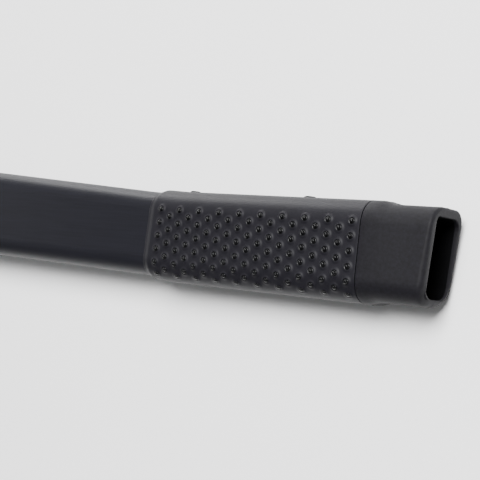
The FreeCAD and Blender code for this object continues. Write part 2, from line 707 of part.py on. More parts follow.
def make_bolt_set(name, place):
    """A socket bolt from the right side, with its washer, and a flanged nut on the left."""
    bolt = new_body(f"{name}_bolt")
    under_head = ("0", "0", f"{BOLT_SEAT} + washer_thickness")
    stem = f"2 * {BOLT_SEAT} + washer_thickness + nut_height - bolt_tail_set"
    shank = new_sketch(bolt, f"{name}_bolt_shank", "XY_Plane", under_head)
    draw_circle(shank, "bolt_height", place, "bolt_size")
    pad(bolt, f"{name}_bolt_stem", shank, stem, back=True)
    crown = new_sketch(bolt, f"{name}_bolt_crown", "XY_Plane", under_head)
    draw_circle(crown, "bolt_height", place, "bolt_head")
    headed = pad(bolt, f"{name}_bolt_head", crown, "bolt_head_height")
    doc.recompute()
    top = number(f"{BOLT_SEAT} + washer_thickness + bolt_head_height")
    rim = [f"Edge{index}" for index, edge in enumerate(headed.Shape.Edges, start=1)
           if abs(edge.BoundBox.ZMin - top) < CLOSE and abs(edge.BoundBox.ZMax - top) < CLOSE]
    dome = bolt.newObject("PartDesign::Fillet", f"{name}_bolt_dome")
    dome.Base = (headed, rim)
    dome.setExpression("Radius", size("bolt_head_height * 0.6"))
    socket = new_sketch(bolt, f"{name}_bolt_socket", "XY_Plane",
                        ("0", "0", f"{BOLT_SEAT} + washer_thickness + bolt_head_height"))
    draw_hexagon(socket, "bolt_height", place, "bolt_socket")
    pocket(bolt, f"{name}_bolt_key", socket, "bolt_head_height * 0.7")
    place_in_head(bolt)
    washer = new_body(f"{name}_washer")
    ring = new_sketch(washer, f"{name}_washer_ring", "XY_Plane", ("0", "0", BOLT_SEAT))
    draw_circle(ring, "bolt_height", place, "washer_size")
    draw_circle(ring, "bolt_height", place, "bolt_size + 2 * bolt_gap")
    pad(washer, f"{name}_washer_plate", ring, "washer_thickness")
    place_in_head(washer)
    nut = new_body(f"{name}_nut")
    face = new_sketch(nut, f"{name}_nut_face", "XY_Plane", ("0", "0", f"-{BOLT_SEAT}"))
    draw_hexagon(face, "bolt_height", place, "nut_size")
    draw_circle(face, "bolt_height", place, "bolt_size")
    pad(nut, f"{name}_nut_block", face, "nut_height", back=True)
    place_in_head(nut)


def draw_hexagon(sketch, x, y, across_flats):
    """A hexagon about a point, given across its flats."""
    half = f"({across_flats}) / 2"
    corner = f"({across_flats}) / sqrt(3)"
    points = [(f"{x} + {corner}", y), (f"{x} + {corner} / 2", f"{y} + {half}"),
              (f"{x} - {corner} / 2", f"{y} + {half}"), (f"{x} - {corner}", y),
              (f"{x} - {corner} / 2", f"{y} - {half}"), (f"{x} + {corner} / 2", f"{y} - {half}")]
    draw_outline(sketch, points)


make_shaft_tube()
make_grip_sleeve()
make_end_ferrule()
make_ferrule_rivets()
make_snow_plug()
make_head_body()
make_head_rivets()
make_head_collar()
make_pick()
make_adze()
make_pick_spacers()
make_bolt_set("pick", "pick_bolt_place")
make_bolt_set("adze", "-adze_bolt_place")
doc.recompute()

# Checks, then one file for each piece

faults = [item.Name for item in doc.Objects if "Invalid" in item.State or "Error" in item.State]
if faults:
    raise RuntimeError(f"these objects failed: {faults}")

pieces = [item for item in doc.Objects
          if item.TypeId == "PartDesign::Body" or item.TypeId == "Part::Cylinder"]
for piece in pieces:
    if piece.Shape.isNull() or not piece.Shape.isValid():
        raise RuntimeError(f"{piece.Label} has no valid shape")

os.makedirs("parts", exist_ok=True)
for piece in pieces:
    piece.Shape.exportStep(f"parts/{piece.Label}.step")
    print(piece.Label, len(piece.Shape.Solids), round(piece.Shape.Volume, 1))
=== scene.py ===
import math

import bmesh
import bpy
from mathutils import Matrix, Vector


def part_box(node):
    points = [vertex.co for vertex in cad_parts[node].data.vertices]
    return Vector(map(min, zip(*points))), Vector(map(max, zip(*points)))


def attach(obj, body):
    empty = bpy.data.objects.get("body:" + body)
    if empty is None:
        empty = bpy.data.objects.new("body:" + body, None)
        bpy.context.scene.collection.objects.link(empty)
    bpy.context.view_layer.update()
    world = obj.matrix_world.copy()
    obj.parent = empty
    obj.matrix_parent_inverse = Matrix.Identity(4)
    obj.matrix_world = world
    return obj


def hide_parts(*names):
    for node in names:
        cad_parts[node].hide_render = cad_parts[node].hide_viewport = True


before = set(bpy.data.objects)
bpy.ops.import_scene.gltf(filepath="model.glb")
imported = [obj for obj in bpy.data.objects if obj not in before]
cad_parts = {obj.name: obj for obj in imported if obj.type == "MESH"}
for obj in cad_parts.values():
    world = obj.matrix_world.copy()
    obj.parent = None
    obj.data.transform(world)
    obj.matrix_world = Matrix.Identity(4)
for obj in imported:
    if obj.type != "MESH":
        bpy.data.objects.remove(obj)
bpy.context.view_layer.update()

MM = 0.001

# Sizes in millimetres: those of the frame's nodes, and the few that their boxes don't give

SLEEVE_LOW, SLEEVE_HIGH = [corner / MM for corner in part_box("grip_sleeve")]
FERRULE_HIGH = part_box("end_ferrule")[1] / MM

HALF_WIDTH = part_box("shaft_tube")[1].z / MM
SLEEVE_WALL = SLEEVE_HIGH.z - HALF_WIDTH
HALF_DEPTH = FERRULE_HIGH.y - SLEEVE_WALL
CORNER = 7.25
TUBE_WALL = 1.5
SLEEVE_LENGTH = 97.1
SLEEVE_START = SLEEVE_LOW.x
SLEEVE_END = SLEEVE_START + SLEEVE_LENGTH

LEAN_START = 107.0
LEAN_RADIUS = 120.0
LEAN_ANGLE = math.radians(2.1)

# A piece's two finishes, and the angles at which a small rounded edge has its rings

OUTSIDE, INSIDE = 0, 1
EDGE_ANGLES = [math.radians(angle) for angle in (0, 25, 50, 70, 90)]


# ---------------------------------------------------------------- finishes

def linear(hex_colour):
    """An sRGB colour such as "#1f2024" as linear light, with full alpha."""
    parts = [int(hex_colour[i:i + 2], 16) / 255 for i in (1, 3, 5)]
    return [part / 12.92 if part <= 0.04045 else ((part + 0.055) / 1.055) ** 2.4 for part in parts] + [1.0]


def per_mm(size):
    """The texture scale that makes one patch or cell about size millimetres across."""
    return 1 / (size * MM)


def add(tree, kind, links=None, sockets=None, **settings):
    """Adds a node: settings are its attributes, sockets its values, and links maps a socket to an output."""
    node = tree.nodes.new("ShaderNode" + kind)
    for name, value in settings.items():
        setattr(node, name, value)
    for name, value in (sockets or {}).items():
        node.inputs[name].default_value = value
    for name, output in (links or {}).items():
        tree.links.new(output, node.inputs[name])
    return node


def start_finish(name, **values):
    """A new material, its tree, its shader set to constant values, and the place on the axe as a vector."""
    material = bpy.data.materials.new(name)
    material.use_nodes = True
    tree = material.node_tree
    tree.nodes.clear()
    constants = {key.replace("_", " "): value for key, value in values.items()}
    shader = add(tree, "BsdfPrincipled", sockets=constants)
    add(tree, "OutputMaterial", {"Surface": shader.outputs[0]})
    place = add(tree, "TexCoord").outputs["Object"]
    return material, tree, shader, place


def rubber_finish():
    """Moulded rubber: a low sheen, with the faint cloudy bloom and fine skin of a worn-in grip."""
    material, tree, shader, place = start_finish("moulded_rubber_satin", IOR=1.5, Specular_IOR_Level=0.16)
    bloom = add(tree, "TexNoise", {"Vector": place}, {"Scale": per_mm(7.0), "Detail": 4.0})
    colour = add(tree, "ValToRGB", {"Fac": bloom.outputs["Fac"]})
    colour.color_ramp.elements[0].position = 0.3
    colour.color_ramp.elements[0].color = linear("#100f14")
    colour.color_ramp.elements[1].position = 0.7
    colour.color_ramp.elements[1].color = linear("#141318")
    tree.links.new(colour.outputs["Color"], shader.inputs["Base Color"])
    # The skin is drawn coarser than it is, about 0.5 mm, so that it shows
    skin = add(tree, "TexNoise", {"Vector": place}, {"Scale": per_mm(0.5), "Detail": 3.0})
    gloss = add(tree, "MapRange", {"Value": skin.outputs["Fac"]}, {"To Min": 0.44, "To Max": 0.6})
    tree.links.new(gloss.outputs["Result"], shader.inputs["Roughness"])
    bump = add(tree, "Bump", {"Height": skin.outputs["Fac"]}, {"Strength": 1.0, "Distance": 0.02 * MM})
    tree.links.new(bump.outputs["Normal"], shader.inputs["Normal"])
    return material


def pit_painted_shade_finish():
    """The rubber down in the pits: painted darker than the rubber outside, as shade in the pits, and still
    shiny from the mould, as no hand rubs it.
    """
    material, tree, shader, place = start_finish("moulded_rubber_glossy_painted_shade", IOR=1.5, Specular_IOR_Level=0.16)
    bloom = add(tree, "TexNoise", {"Vector": place}, {"Scale": per_mm(3.0), "Detail": 3.0})
    colour = add(tree, "ValToRGB", {"Fac": bloom.outputs["Fac"]})
    # Painted shade: both colours are darker than the rubber outside, standing in for the shade down in the
    # pits
    colour.color_ramp.elements[0].color = linear("#060607")
    colour.color_ramp.elements[1].color = linear("#0c0c0e")
    tree.links.new(colour.outputs["Color"], shader.inputs["Base Color"])
    gloss = add(tree, "MapRange", {"Value": bloom.outputs["Fac"]}, {"To Min": 0.26, "To Max": 0.4})
    tree.links.new(gloss.outputs["Result"], shader.inputs["Roughness"])
    return material


def nylon_finish():
    """Glass-filled nylon from a spark-eroded mould: an even, sandy grain that breaks up its sheen."""
    material, tree, shader, place = start_finish("nylon_spark_eroded", IOR=1.53, Specular_IOR_Level=0.14)
    cloud = add(tree, "TexNoise", {"Vector": place}, {"Scale": per_mm(1.1), "Detail": 5.0, "Roughness": 0.7})
    colour = add(tree, "ValToRGB", {"Fac": cloud.outputs["Fac"]})
    colour.color_ramp.elements[0].position = 0.3
    colour.color_ramp.elements[0].color = linear("#09080b")
    colour.color_ramp.elements[1].position = 0.7
    colour.color_ramp.elements[1].color = linear("#141318")
    tree.links.new(colour.outputs["Color"], shader.inputs["Base Color"])
    # The grain is drawn coarser than it is, about 0.45 mm, so that it shows
    sand = add(tree, "TexNoise", {"Vector": place}, {"Scale": per_mm(0.45), "Detail": 4.0, "Roughness": 0.7})
    gloss = add(tree, "MapRange", {"Value": sand.outputs["Fac"]}, {"To Min": 0.52, "To Max": 0.7})
    tree.links.new(gloss.outputs["Result"], shader.inputs["Roughness"])
    bump = add(tree, "Bump", {"Height": sand.outputs["Fac"]}, {"Strength": 1.0, "Distance": 0.035 * MM})
    tree.links.new(bump.outputs["Normal"], shader.inputs["Normal"])
    return material


def nylon_painted_shade_finish():
    """The same nylon inside the mouth, dull, and painted darker as shade."""
    material, tree, shader, place = start_finish("nylon_dull_painted_shade", IOR=1.53, Specular_IOR_Level=0.05)
    shade_noise = add(tree, "TexNoise", {"Vector": place}, {"Scale": per_mm(0.8), "Detail": 3.0})
    colour = add(tree, "ValToRGB", {"Fac": shade_noise.outputs["Fac"]})
    # Painted shade: both colours are far darker than the nylon outside, standing in for shade
    colour.color_ramp.elements[0].color = linear("#030304")
    colour.color_ramp.elements[1].color = linear("#060607")
    tree.links.new(colour.outputs["Color"], shader.inputs["Base Color"])
    gloss = add(tree, "MapRange", {"Value": shade_noise.outputs["Fac"]}, {"To Min": 0.7, "To Max": 0.85})
    tree.links.new(gloss.outputs["Result"], shader.inputs["Roughness"])
    return material


def tube_finish():
    """Black anodised aluminium, etched satin: a dry, even sheen with faint lines from drawing."""
    material, tree, shader, place = start_finish("aluminium_black_anodised", IOR=1.5, Specular_IOR_Level=0.14)
    along = add(tree, "Mapping", {"Vector": place}, {"Scale": (0.03, 1.0, 1.0)})
    drawn = add(tree, "TexNoise", {"Vector": along.outputs["Vector"]}, {"Scale": per_mm(0.6), "Detail": 3.0})
    colour = add(tree, "ValToRGB", {"Fac": drawn.outputs["Fac"]})
    colour.color_ramp.elements[0].position = 0.3
    colour.color_ramp.elements[0].color = linear("#101015")
    colour.color_ramp.elements[1].position = 0.7
    colour.color_ramp.elements[1].color = linear("#14141a")
    tree.links.new(colour.outputs["Color"], shader.inputs["Base Color"])
    # The etch is drawn coarser than it is, about 0.3 mm, so that it shows
    etch = add(tree, "TexNoise", {"Vector": place}, {"Scale": per_mm(0.3), "Detail": 2.0})
    gloss = add(tree, "MapRange", {"Value": etch.outputs["Fac"]}, {"To Min": 0.42, "To Max": 0.52})
    tree.links.new(gloss.outputs["Result"], shader.inputs["Roughness"])
    bump = add(tree, "Bump", {"Height": etch.outputs["Fac"]}, {"Strength": 1.0, "Distance": 0.01 * MM})
    tree.links.new(bump.outputs["Normal"], shader.inputs["Normal"])
    return material


def forging_finish():
    """Forged aluminium, bead-blasted and anodised grey: an even, softly sparkling matt metal."""
    material, tree, shader, place = start_finish("aluminium_blasted_anodised", Metallic=0.9)
    # The marks of the beads are drawn coarser than they are, about 0.35 mm, so that they show
    blast = add(tree, "TexNoise", {"Vector": place}, {"Scale": per_mm(0.35), "Detail": 3.0})
    colour = add(tree, "ValToRGB", {"Fac": blast.outputs["Fac"]})
    colour.color_ramp.elements[0].position = 0.25
    colour.color_ramp.elements[0].color = linear("#46474b")
    colour.color_ramp.elements[1].position = 0.75
    colour.color_ramp.elements[1].color = linear("#5b5c61")
    tree.links.new(colour.outputs["Color"], shader.inputs["Base Color"])
    gloss = add(tree, "MapRange", {"Value": blast.outputs["Fac"]}, {"To Min": 0.36, "To Max": 0.52})
    tree.links.new(gloss.outputs["Result"], shader.inputs["Roughness"])
    bump = add(tree, "Bump", {"Height": blast.outputs["Fac"]}, {"Strength": 1.0, "Distance": 0.03 * MM})
    tree.links.new(bump.outputs["Normal"], shader.inputs["Normal"])
    return material


def steel_finish():
    """Alloy steel plate, ground lengthways and then tumbled: fine streaks over a faintly mottled grey."""
    material, tree, shader, place = start_finish("alloy_steel_ground", Metallic=1.0)
    along = add(tree, "Mapping", {"Vector": place}, {"Scale": (1.0, 0.04, 1.0)})
    streak = add(tree, "TexNoise", {"Vector": along.outputs["Vector"]}, {"Scale": per_mm(0.4), "Detail": 3.0})
    mottle = add(tree, "TexNoise", {"Vector": place}, {"Scale": per_mm(9.0), "Detail": 5.0})
    colour = add(tree, "ValToRGB", {"Fac": mottle.outputs["Fac"]})
    colour.color_ramp.elements[0].position = 0.3
    colour.color_ramp.elements[0].color = linear("#8c8d91")
    colour.color_ramp.elements[1].position = 0.7
    colour.color_ramp.elements[1].color = linear("#9b9ca0")
    tree.links.new(colour.outputs["Color"], shader.inputs["Base Color"])
    gloss = add(tree, "MapRange", {"Value": streak.outputs["Fac"]}, {"To Min": 0.24, "To Max": 0.46})
    tree.links.new(gloss.outputs["Result"], shader.inputs["Roughness"])
    bump = add(tree, "Bump", {"Height": streak.outputs["Fac"]}, {"Strength": 1.0, "Distance": 0.02 * MM})
    tree.links.new(bump.outputs["Normal"], shader.inputs["Normal"])
    return material


def zinc_finish():
    """Bright zinc plate over steel: pale grey and a little cloudy, with a soft shine."""
    material, tree, shader, place = start_finish("steel_zinc_plated", Metallic=1.0)
    cloud = add(tree, "TexNoise", {"Vector": place}, {"Scale": per_mm(2.0), "Detail": 4.0})
    colour = add(tree, "ValToRGB", {"Fac": cloud.outputs["Fac"]})
    colour.color_ramp.elements[0].position = 0.3
    colour.color_ramp.elements[0].color = linear("#8f9196")
    colour.color_ramp.elements[1].position = 0.7
    colour.color_ramp.elements[1].color = linear("#b4b6b9")
    tree.links.new(colour.outputs["Color"], shader.inputs["Base Color"])
    gloss = add(tree, "MapRange", {"Value": cloud.outputs["Fac"]}, {"To Min": 0.2, "To Max": 0.36})
    tree.links.new(gloss.outputs["Result"], shader.inputs["Roughness"])
    return material


def elastomer_finish():
    """Moulded elastomer: dull black with a fine pebbled skin."""
    material, tree, shader, place = start_finish("elastomer_moulded", IOR=1.5, Specular_IOR_Level=0.3)
    pebble = add(tree, "TexVoronoi", {"Vector": place}, {"Scale": per_mm(0.8)}, feature="SMOOTH_F1")
    colour = add(tree, "ValToRGB", {"Fac": pebble.outputs["Distance"]})
    colour.color_ramp.elements[0].color = linear("#121214")
    colour.color_ramp.elements[1].color = linear("#1c1c1f")
    tree.links.new(colour.outputs["Color"], shader.inputs["Base Color"])
    gloss = add(tree, "MapRange", {"Value": pebble.outputs["Distance"]}, {"To Min": 0.46, "To Max": 0.64})
    tree.links.new(gloss.outputs["Result"], shader.inputs["Roughness"])
    bump = add(tree, "Bump", {"Height": pebble.outputs["Distance"]}, {"Strength": 1.0, "Distance": 0.06 * MM})
    tree.links.new(bump.outputs["Normal"], shader.inputs["Normal"])
    return material


def foam_finish():
    """Closed-cell foam: dull dark grey, with cut cells that show as small pits."""
    material, tree, shader, place = start_finish("foam_closed_cell", IOR=1.45, Specular_IOR_Level=0.2)
    cells = add(tree, "TexVoronoi", {"Vector": place}, {"Scale": per_mm(0.9)})
    colour = add(tree, "ValToRGB", {"Fac": cells.outputs["Distance"]})
    colour.color_ramp.elements[0].color = linear("#1b1b1f")
    colour.color_ramp.elements[1].color = linear("#38383c")
    tree.links.new(colour.outputs["Color"], shader.inputs["Base Color"])
    gloss = add(tree, "MapRange", {"Value": cells.outputs["Distance"]}, {"To Min": 0.8, "To Max": 0.95})
    tree.links.new(gloss.outputs["Result"], shader.inputs["Roughness"])
    bump = add(tree, "Bump", {"Height": cells.outputs["Distance"]}, {"Strength": 1.0, "Distance": 0.3 * MM})
    tree.links.new(bump.outputs["Normal"], shader.inputs["Normal"])
    return material


def paper_finish():
    """Matt white background paper, faintly fibrous."""
    material, tree, shader, place = start_finish("paper_matt_white", IOR=1.45, Specular_IOR_Level=0.1)
    fibre = add(tree, "TexNoise", {"Vector": place}, {"Scale": per_mm(1.5), "Detail": 3.0})
    colour = add(tree, "ValToRGB", {"Fac": fibre.outputs["Fac"]})
    colour.color_ramp.elements[0].color = linear("#f1f1f2")
    colour.color_ramp.elements[1].color = linear("#f6f6f6")
    tree.links.new(colour.outputs["Color"], shader.inputs["Base Color"])
    gloss = add(tree, "MapRange", {"Value": fibre.outputs["Fac"]}, {"To Min": 0.85, "To Max": 0.95})
    tree.links.new(gloss.outputs["Result"], shader.inputs["Roughness"])
    return material


RUBBER = rubber_finish()
NYLON = nylon_finish()
NYLON_PAINTED_SHADE = nylon_painted_shade_finish()
PIT_PAINTED_SHADE = pit_painted_shade_finish()
TUBE_FINISH = tube_finish()
STEEL = steel_finish()
ZINC = zinc_finish()

NODE_FINISHES = {
    "shaft_tube": TUBE_FINISH, "grip_sleeve": RUBBER, "end_ferrule": NYLON, "snow_plug": foam_finish(),
    "head_body": forging_finish(), "head_collar": elastomer_finish(), "pick": STEEL, "adze": STEEL,
}
for name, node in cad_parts.items():
    node.data.materials.clear()
    node.data.materials.append(NODE_FINISHES.get(name, ZINC))


# ---------------------------------------------------------------- shared by the moulded pieces

def smooth_step(share):
    """Goes from 0 to 1 without a kink at either end."""
    return 0.5 - 0.5 * math.cos(math.pi * min(max(share, 0), 1))


def mix(start, end, share):
    """The value that lies a share of the way from start to end."""
    return start + (end - start) * share


def spread(start, end, parts):
    """Evenly spaced values from start to end."""
    return [mix(start, end, part / parts) for part in range(parts + 1)]


def join_rings(mesh, ring, following, finish=OUTSIDE):
    """Closes the band between two rings that have the same number of corners."""
    for turn in range(len(ring)):
        after = (turn + 1) % len(ring)
        band = mesh.faces.new((ring[turn], ring[after], following[after], following[turn]))
        band.material_index = finish


def finish_piece(mesh, name, material, slot, *nodes):
    """Turns a bmesh into a smooth piece of the axe, which stands for the nodes that are named."""
    bmesh.ops.recalc_face_normals(mesh, faces=mesh.faces)
    data = bpy.data.meshes.new(name)
    mesh.to_mesh(data)
    mesh.free()
    data.shade_smooth()
    data.materials.append(material)
    piece = bpy.data.objects.new(name, data)
    bpy.context.scene.collection.objects.link(piece)
    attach(piece, "root")
    if nodes:
        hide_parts(*nodes)
    return piece


# ---------------------------------------------------------------- sections and the grip's centreline

def on_centreline(distance, y, z):
    """Carries a section's point along the grip's centreline, which leans back near its upper end."""
    bent = min(max(distance - LEAN_START, 0) / LEAN_RADIUS, LEAN_ANGLE)
    rest = max(distance - LEAN_START - LEAN_RADIUS * LEAN_ANGLE, 0)
    x = min(distance, LEAN_START) + LEAN_RADIUS * math.sin(bent) + rest * math.cos(bent)
    shift = LEAN_RADIUS * (math.cos(bent) - 1) - rest * math.sin(bent)
    return Vector((x + y * math.sin(bent), shift + y * math.cos(bent), z)) * MM


FLAT_DEPTH = HALF_DEPTH - CORNER
FLAT_WIDTH = HALF_WIDTH - CORNER
TURN = (CORNER + SLEEVE_WALL) * math.pi / 2
ROUND = 4 * (FLAT_DEPTH + FLAT_WIDTH + TURN)


def sleeve_section(along, wall):
    """A point (y, z) of the sleeve: along is measured round its outside, from the middle of its +Z face."""
    along = (along + ROUND / 2) % ROUND - ROUND / 2
    side = 1 if along >= 0 else -1
    along = abs(along)
    reach = CORNER + wall
    half = 1
    if along > ROUND / 4:
        along = ROUND / 2 - along
        half = -1
    if along < FLAT_DEPTH:
        return side * along, half * (FLAT_WIDTH + reach)
    if along < FLAT_DEPTH + TURN:
        angle = (along - FLAT_DEPTH) / (CORNER + SLEEVE_WALL)
        return side * (FLAT_DEPTH + reach * math.sin(angle)), half * (FLAT_WIDTH + reach * math.cos(angle))
    return side * (FLAT_DEPTH + reach), half * (FLAT_WIDTH + FLAT_DEPTH + TURN - along)


# ---------------------------------------------------------------- grip sleeve

# Each broad face has staggered pitted studs: a low round swelling with a steep pit in its middle

STUD_PITCH = 4.82
ROW_PITCH = 5.1
COLUMNS = 19
ROWS = 11
FIRST_COLUMN = 115.2
FIRST_ROW = -9.6
CELL_STEPS = 6
STEP = ROW_PITCH / CELL_STEPS
SWELLING_RADIUS = 2.3
SWELLING_HEIGHT = 0.28
PIT_RADIUS = 1.15
PIT_DEPTH = 1.3
STUD_RINGS = (2.3, 2.05, 1.8, 1.6, 1.42, 1.3, 1.18, 1.06, 0.92, 0.76, 0.58, 0.38, 0.18)

# The smooth sides, the lower edge at the joint, the thin upper edge, and the bore

FINGER_SIDE_STEPS = 20
PALM_SIDE_STEPS = 36
EDGE_ROUNDING = 0.12
JOINT_GAP = 0.15
LOWER_END = SLEEVE_START + JOINT_GAP
THINNING_START = 118.6
THINNING_STEPS = 12
SLEEVE_EDGE = 0.25
BORE_STEPS = 24


def stud_height(radius):
    """The relief of a pitted stud at a distance from its middle."""
    if radius >= PIT_RADIUS:
        share = (radius - PIT_RADIUS) / (SWELLING_RADIUS - PIT_RADIUS)
        return SWELLING_HEIGHT * (1 - smooth_step(share))
    return SWELLING_HEIGHT - PIT_DEPTH * (1 - smooth_step((radius / PIT_RADIUS) ** 2))


def sleeve_wall(x):
    """The sleeve's wall at a place along it: rounded at the lower edge, and a smooth ramp at the top."""
    from_edge = max(x - LOWER_END, 0)
    if from_edge < EDGE_ROUNDING:
        inset = EDGE_ROUNDING - from_edge
        return SLEEVE_WALL - EDGE_ROUNDING + math.sqrt(EDGE_ROUNDING ** 2 - inset ** 2)
    share = (x - THINNING_START) / (SLEEVE_END - THINNING_START)
    return mix(SLEEVE_WALL, SLEEVE_EDGE, smooth_step(share))


class SleeveSkin:
    """Faces whose corners are places on the sleeve, with the corners that they share made only once."""

    def __init__(self):
        self.mesh = bmesh.new()
        self.corners = {}

    def corner(self, x, along, relief=0.0, inner=False):
        """The corner at a place on the outside, raised by a relief, or on the bore."""
        key = (round(x, 3), round(along % ROUND, 3), inner)
        if key not in self.corners:
            y, z = sleeve_section(along, 0.0 if inner else sleeve_wall(x))
            z += math.copysign(relief, z)
            self.corners[key] = self.mesh.verts.new(on_centreline(x, y, z))
        return self.corners[key]

    def patch(self, places, rings, inner=False):
        """Quads between neighbouring places round the sleeve and neighbouring rings along it."""
        for low, high in zip(places, places[1:]):
            for near, far in zip(rings, rings[1:]):
                self.mesh.faces.new([self.corner(x, along, inner=inner)
                                     for x, along in ((near, low), (far, low), (far, high), (near, high))])

    def stud(self, x, along):
        """One pitted stud: rings that go from the square edge of its cell to the bottom of its pit."""
        half, half_row = STUD_PITCH / 2, ROW_PITCH / 2
        edge = [(-1 + 2 * turn / CELL_STEPS, -1) for turn in range(CELL_STEPS)]
        square = [corner for side in range(4) for corner in turned(edge, side)]
        rings = [[self.corner(x + half * a, along + half_row * b) for a, b in square]]
        for radius in STUD_RINGS:
            reach = [radius / math.hypot(a, b) for a, b in square]
            rings.append([self.corner(x + a * r, along + b * r, stud_height(radius))
                          for (a, b), r in zip(square, reach)])
        # Faces inside the pit take the second finish, the rubber painted darker as shade
        for radius, outer, inner in zip(STUD_RINGS, rings, rings[1:]):
            join_rings(self.mesh, outer, inner, INSIDE if radius < PIT_RADIUS else OUTSIDE)
        middle = self.corner(x, along, stud_height(0))
        pit = rings[-1]
        for corner, following in zip(pit, pit[1:] + pit[:1]):
            self.mesh.faces.new((corner, following, middle)).material_index = INSIDE


def turned(points, quarter_turns):
    """Points turned about the middle by quarter turns."""
    for _ in range(quarter_turns):
        points = [(-b, a) for a, b in points]
    return points


def make_sleeve():
    """The sleeve: studs on its broad faces, smooth sides between them, rounded and thinned ends, a bore."""
    skin = SleeveSkin()
    face_steps = (ROWS + 1) // 2 * CELL_STEPS
    half = STUD_PITCH / 2
    front = FIRST_ROW - ROW_PITCH / 2
    back = ROUND / 2 - front - face_steps * STEP
    finger_side = spread(front + face_steps * STEP, back, FINGER_SIDE_STEPS)
    palm_side = spread(back + face_steps * STEP, front + ROUND, PALM_SIDE_STEPS)
    faces = [spread(start, start + face_steps * STEP, face_steps) for start in (front, back)]
    for column in range(COLUMNS):
        x = FIRST_COLUMN - STUD_PITCH * column
        rings = spread(x - half, x + half, CELL_STEPS)
        trim = column % 2 * CELL_STEPS // 2
        for places in faces:
            for cell in range(trim, face_steps - trim, CELL_STEPS):
                skin.stud(x, places[cell] + ROW_PITCH / 2)
            if trim:
                skin.patch(places[:trim + 1], rings)
                skin.patch(places[-trim - 1:], rings)
        skin.patch(finger_side, rings)
        skin.patch(palm_side, rings)
    around = faces[0] + finger_side[1:] + faces[1][1:] + palm_side[1:]
    last_column = FIRST_COLUMN - STUD_PITCH * (COLUMNS - 1)
    rounding = [LOWER_END + EDGE_ROUNDING * (1 - math.cos(angle)) for angle in EDGE_ANGLES]
    skin.patch(around, rounding + [last_column - half])
    skin.patch(around, [FIRST_COLUMN + half] + spread(THINNING_START, SLEEVE_END, THINNING_STEPS))
    skin.patch(around, spread(LOWER_END, SLEEVE_END, BORE_STEPS), inner=True)
    for x in (LOWER_END, SLEEVE_END):
        for low, high in zip(around, around[1:]):
            skin.mesh.faces.new((skin.corner(x, low), skin.corner(x, high),
                                 skin.corner(x, high, inner=True), skin.corner(x, low, inner=True)))
    sleeve = finish_piece(skin.mesh, "grip_sleeve_studded", RUBBER, "grip", "grip_sleeve")
    # The second finish, for the pits, is rubber painted darker as shade
    sleeve.data.materials.append(PIT_PAINTED_SHADE)


make_sleeve()


# Two low nylon buttons stand on the sleeve's narrow side, the one away from the pick

BUTTON_PLACES = (109.0, 54.6)
BUTTON_RADIUS = 2.4
BUTTON_FLAT = 0.55
BUTTON_FLARE = 1.05
BUTTON_HEIGHT = 0.7
BUTTON_SINK = 0.6
BUTTON_CORNERS = 24


def make_sleeve_buttons():
    """Each button is a flared foot sunk in the rubber, a rounded edge and a flat top."""
    profile = [(BUTTON_RADIUS * BUTTON_FLARE, -BUTTON_SINK), (BUTTON_RADIUS, 0.0)]
    for angle in range(10, 91, 16):
        rise = math.radians(angle)
        radius = BUTTON_RADIUS * mix(BUTTON_FLAT, 1.0, math.cos(rise))
        profile.append((radius, BUTTON_HEIGHT * math.sin(rise)))
    angles = [2 * math.pi * corner / BUTTON_CORNERS for corner in range(BUTTON_CORNERS)]
    for number, place in enumerate(BUTTON_PLACES, 1):
        mesh = bmesh.new()
        rings = []
        for radius, height in profile:
            y = -(HALF_DEPTH + SLEEVE_WALL + height)
            points = [on_centreline(place + radius * math.cos(a), y, radius * math.sin(a)) for a in angles]
            rings.append([mesh.verts.new(point) for point in points])
        for ring, following in zip(rings, rings[1:]):
            join_rings(mesh, ring, following)
        mesh.faces.new(rings[0])
        mesh.faces.new(rings[-1])
        # The buttons take the nylon painted darker as shade, not the ferrule's own nylon colour
        finish_piece(mesh, f"sleeve_button_{number}", NYLON_PAINTED_SHADE, "grip")


make_sleeve_buttons()


# ---------------------------------------------------------------- end ferrule

# Its open end is cut at a slant and has a rounded lip, wider on the side towards the pick

END_SLANT = math.tan(math.radians(3.4))
LIP_RADIUS = 1.8
LIP_SPREAD = 0.05

# Then come a short tail, a ramp that leans a little, and the shoulder at the joint with the sleeve

TAIL_PLACES = (4.0, 7.0, 10.0, 13.0)
RAMP_FOOT = 17.0
RAMP_TOP = 23.0
RAMP_STEPS = 12
RAMP_SKEW = 0.09
SHOULDER = SLEEVE_START - JOINT_GAP

# The mouth, a little off centre, and the plug that goes up into the tube

MOUTH_WALL = 2.9
MOUTH_RADIUS = 0.3
MOUTH_TOP = 1.5
MOUTH_DEPTH = 20.0
MOUTH_STEPS = 6
MOUTH_SHIFT = Vector((0.3, -0.5))
PLUG_END = FERRULE_HIGH.x
PLUG_WALL = 2.6

# Corner radii in the order (+Y, +Z), (+Y, -Z), (-Y, -Z), (-Y, +Z)

OPEN_END_CORNERS = (7.0, 9.2, 5.0, 7.25)
MOUTH_CORNERS = (1.8, 4.6, 3.6, 2.0)

# How a quarter of the section is divided, and the fine ridge at the mould's parting line

FACE_STEPS = 8
CORNER_STEPS = 12
SIDE_SHARES = (0.7, 0.4)
RIDGE_HALF_WIDTH = 0.22
PARTING_RIDGE = 0.12


